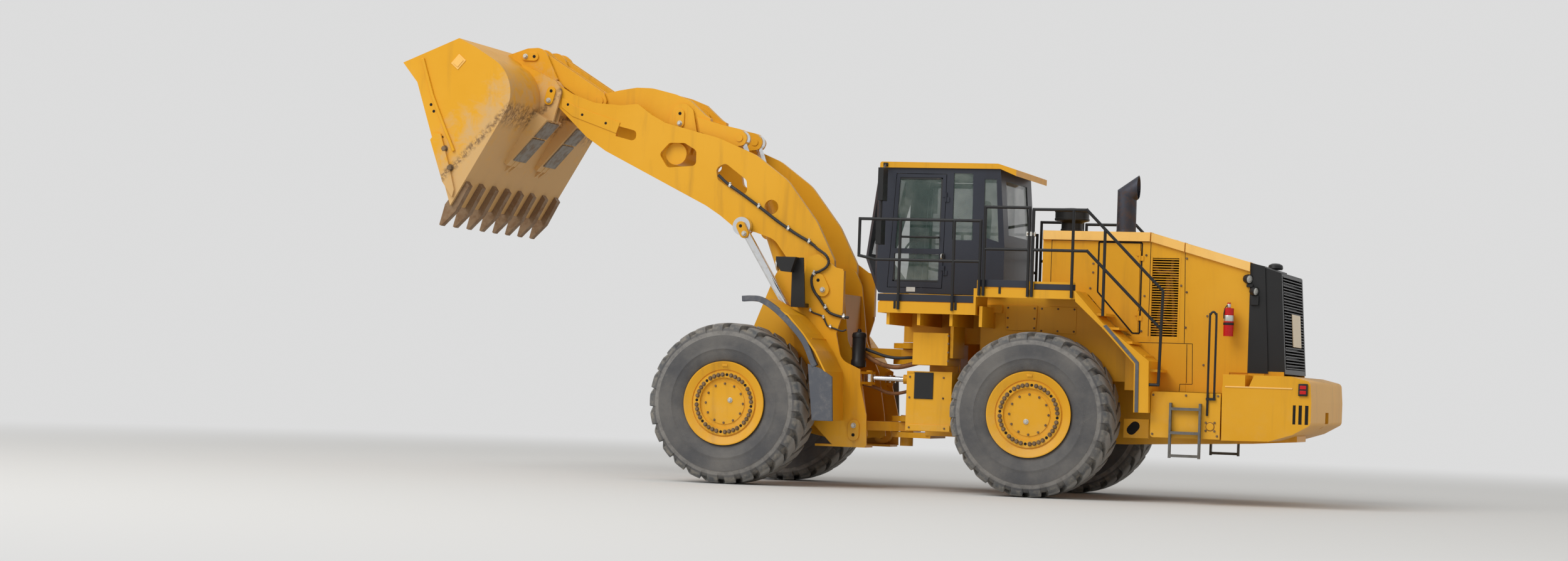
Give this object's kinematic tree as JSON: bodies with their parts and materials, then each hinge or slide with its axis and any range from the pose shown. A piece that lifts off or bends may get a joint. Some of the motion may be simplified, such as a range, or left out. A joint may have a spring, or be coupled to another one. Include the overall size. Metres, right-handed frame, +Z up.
{
  "type": "wheel loader",
  "caption": "Articulated wheel loader with raised boom, dumped toothed bucket, cab with doors, engine hood and four lugged tyres on split frames.",
  "frame": {"origin": "middle of the machine's length and width, on the ground under the tyres", "axes": "+X to the rear of the machine, so it drives towards -X; +Y to its right side; +Z up"},
  "size_m": [12.063, 3.476, 5.7075],
  "materials": {
    "body_paint": "satin",
    "dark_paint": "satin",
    "tool_steel": "rough",
    "chrome_rod": "polished",
    "tyre": "matte",
    "cast_iron": "matte",
    "glass": "gloss",
    "black_plastic": "matte",
    "red_paint": "gloss"
  },
  "bodies": {
    "rear_frame": {"rear_frame": "body_paint", "rear_axle": "body_paint", "engine_block": "cast_iron", "hood": "body_paint", "side_grilles": "body_paint", "rear_shroud": "dark_paint", "exhaust_stack": "dark_paint", "air_precleaner": "black_plastic", "counterweight": "body_paint", "side_boxes": "body_paint", "platform": "body_paint", "rear_fenders": "body_paint", "ladders": "dark_paint", "handrails": "dark_paint", "cab_shell": "dark_paint", "cab_roof": "dark_paint", "cab_glass": "glass", "cab_interior": "black_plastic", "under_boxes": "body_paint", "extinguisher": "red_paint", "mirrors": "black_plastic"},
    "front_frame": {"front_frame": "body_paint", "front_axle": "body_paint", "front_fenders": "body_paint", "front_lamps": "dark_paint"},
    "boom": {"boom": "body_paint"},
    "levers": {"levers": "body_paint"},
    "tilt_links": {"tilt_links": "body_paint"},
    "bucket": {"bucket": "body_paint", "bucket_teeth": "tool_steel"},
    "lift_barrels": {"lift_barrels": "body_paint"},
    "lift_rods": {"lift_rods": "chrome_rod"},
    "tilt_barrels": {"tilt_barrels": "body_paint"},
    "tilt_rods": {"tilt_rods": "chrome_rod"},
    "steering_left_barrel": {"steering_left_barrel": "body_paint"},
    "steering_left_rod": {"steering_left_rod": "chrome_rod"},
    "cab_door_left": {"cab_door_left": "dark_paint", "door_glass_left": "glass"},
    "engine_door_left": {"engine_door_left": "body_paint"},
    "steering_right_barrel": {"steering_right_barrel": "body_paint"},
    "steering_right_rod": {"steering_right_rod": "chrome_rod"},
    "cab_door_right": {"cab_door_right": "dark_paint", "door_glass_right": "glass"},
    "engine_door_right": {"engine_door_right": "body_paint"},
    "rear_grille_door": {"rear_grille_door": "dark_paint"},
    "wheel_front_left": {"tyre_front_left": "tyre", "rim_front_left": "body_paint"},
    "wheel_front_right": {"tyre_front_right": "tyre", "rim_front_right": "body_paint"},
    "wheel_rear_left": {"tyre_rear_left": "tyre", "rim_rear_left": "body_paint"},
    "wheel_rear_right": {"tyre_rear_right": "tyre", "rim_rear_right": "body_paint"}
  },
  "joints": [
    {"name": "articulation", "type": "hinge", "parent": "rear_frame", "child": "front_frame", "pos_m": [0.578, 0, 1.2], "axis": [0, 0, 1], "range_deg": [-35, 35]},
    {"name": "boom_lift", "type": "hinge", "parent": "front_frame", "child": "boom", "pos_m": [-0.459, 0, 2.66], "axis": [0, 1, 0], "range_deg": [-62, 6]},
    {"name": "bucket_tilt", "type": "hinge", "parent": "boom", "child": "bucket", "pos_m": [-4.332, 0, 5.11], "axis": [0, 1, 0], "range_deg": [0, 115]},
    {"name": "lever_swing", "type": "hinge", "parent": "boom", "child": "levers", "pos_m": [-2.568, 0, 4.842], "axis": [0, 1, 0], "range_deg": [-47, 1]},
    {"name": "link_swing", "type": "hinge", "parent": "bucket", "child": "tilt_links", "pos_m": [-4.659, 0, 5.589], "axis": [0, 1, 0], "range_deg": [-72, 1]},
    {"name": "lift_cylinder_swing", "type": "hinge", "parent": "front_frame", "child": "lift_barrels", "pos_m": [0.083, 0, 0.678], "axis": [0, 1, 0], "range_deg": [-21, 3]},
    {"name": "lift_cylinder_stroke", "type": "slide", "parent": "lift_barrels", "child": "lift_rods", "axis": [-0.5271, 0, 0.8498], "range_m": [-1.02, 0.11]},
    {"name": "tilt_cylinder_swing", "type": "hinge", "parent": "front_frame", "child": "tilt_barrels", "pos_m": [-1.037, 0, 2.681], "axis": [0, 1, 0], "range_deg": [-78.5, 8.5]},
    {"name": "tilt_cylinder_stroke", "type": "slide", "parent": "tilt_barrels", "child": "tilt_rods", "axis": [-0.3527, 0, 0.9357], "range_m": [-0.01, 0.69]},
    {"name": "steering_left_swing", "type": "hinge", "parent": "rear_frame", "child": "steering_left_barrel", "pos_m": [1.378, -0.42, 1.417], "axis": [0, 0, 1], "range_deg": [-14, 14]},
    {"name": "steering_left_stroke", "type": "slide", "parent": "steering_left_barrel", "child": "steering_left_rod", "axis": [-0.9965, -0.0837, 0], "range_m": [-0.35, 0.35]},
    {"name": "cab_door_left_swing", "type": "hinge", "parent": "rear_frame", "child": "cab_door_left", "pos_m": [1.225, -0.882, 3.3], "axis": [0, 0, 1], "range_deg": [0, 65]},
    {"name": "engine_door_left_swing", "type": "hinge", "parent": "rear_frame", "child": "engine_door_left", "pos_m": [3.7735, -0.962, 2.7], "axis": [0, 0, 1], "range_deg": [0, 85]},
    {"name": "steering_right_swing", "type": "hinge", "parent": "rear_frame", "child": "steering_right_barrel", "pos_m": [1.378, 0.42, 1.417], "axis": [0, 0, 1], "range_deg": [-14, 14]},
    {"name": "steering_right_stroke", "type": "slide", "parent": "steering_right_barrel", "child": "steering_right_rod", "axis": [-0.9965, 0.0837, 0], "range_m": [-0.35, 0.35]},
    {"name": "cab_door_right_swing", "type": "hinge", "parent": "rear_frame", "child": "cab_door_right", "pos_m": [1.225, 0.882, 3.3], "axis": [0, 0, -1], "range_deg": [0, 65]},
    {"name": "engine_door_right_swing", "type": "hinge", "parent": "rear_frame", "child": "engine_door_right", "pos_m": [3.7735, 0.962, 2.7], "axis": [0, 0, -1], "range_deg": [0, 85]},
    {"name": "rear_grille_door_swing", "type": "hinge", "parent": "rear_frame", "child": "rear_grille_door", "pos_m": [5.4131, 0.963, 1.64], "axis": [-0.0565, 0, 0.9984], "range_deg": [0, 90]},
    {"name": "wheel_front_left_spin", "type": "hinge", "parent": "front_frame", "child": "wheel_front_left", "pos_m": [-1.412, 0, 1.03], "axis": [0, 1, 0], "continuous": true},
    {"name": "wheel_front_right_spin", "type": "hinge", "parent": "front_frame", "child": "wheel_front_right", "pos_m": [-1.412, 0, 1.03], "axis": [0, 1, 0], "continuous": true},
    {"name": "wheel_rear_left_spin", "type": "hinge", "parent": "rear_frame", "child": "wheel_rear_left", "pos_m": [2.568, 0, 1.03], "axis": [0, 1, 0], "continuous": true},
    {"name": "wheel_rear_right_spin", "type": "hinge", "parent": "rear_frame", "child": "wheel_rear_right", "pos_m": [2.568, 0, 1.03], "axis": [0, 1, 0], "continuous": true}
  ],
  "couplings": [
    {"joint": "lever_swing", "follows": "bucket_tilt", "ratio": -0.393},
    {"joint": "link_swing", "follows": "bucket_tilt", "ratio": -0.616},
    {"joint": "tilt_cylinder_stroke", "follows": "bucket_tilt", "m_per_rad": 0.328},
    {"joint": "lift_cylinder_swing", "follows": "boom_lift", "ratio": 0.321},
    {"joint": "lift_cylinder_stroke", "follows": "boom_lift", "m_per_rad": 0.934},
    {"joint": "tilt_cylinder_swing", "follows": "boom_lift", "ratio": 1.25},
    {"joint": "steering_left_swing", "follows": "articulation", "ratio": 0.35},
    {"joint": "steering_right_swing", "follows": "articulation", "ratio": 0.35},
    {"joint": "steering_left_stroke", "follows": "articulation", "m_per_rad": -0.476},
    {"joint": "steering_right_stroke", "follows": "articulation", "m_per_rad": 0.476}
  ]
}
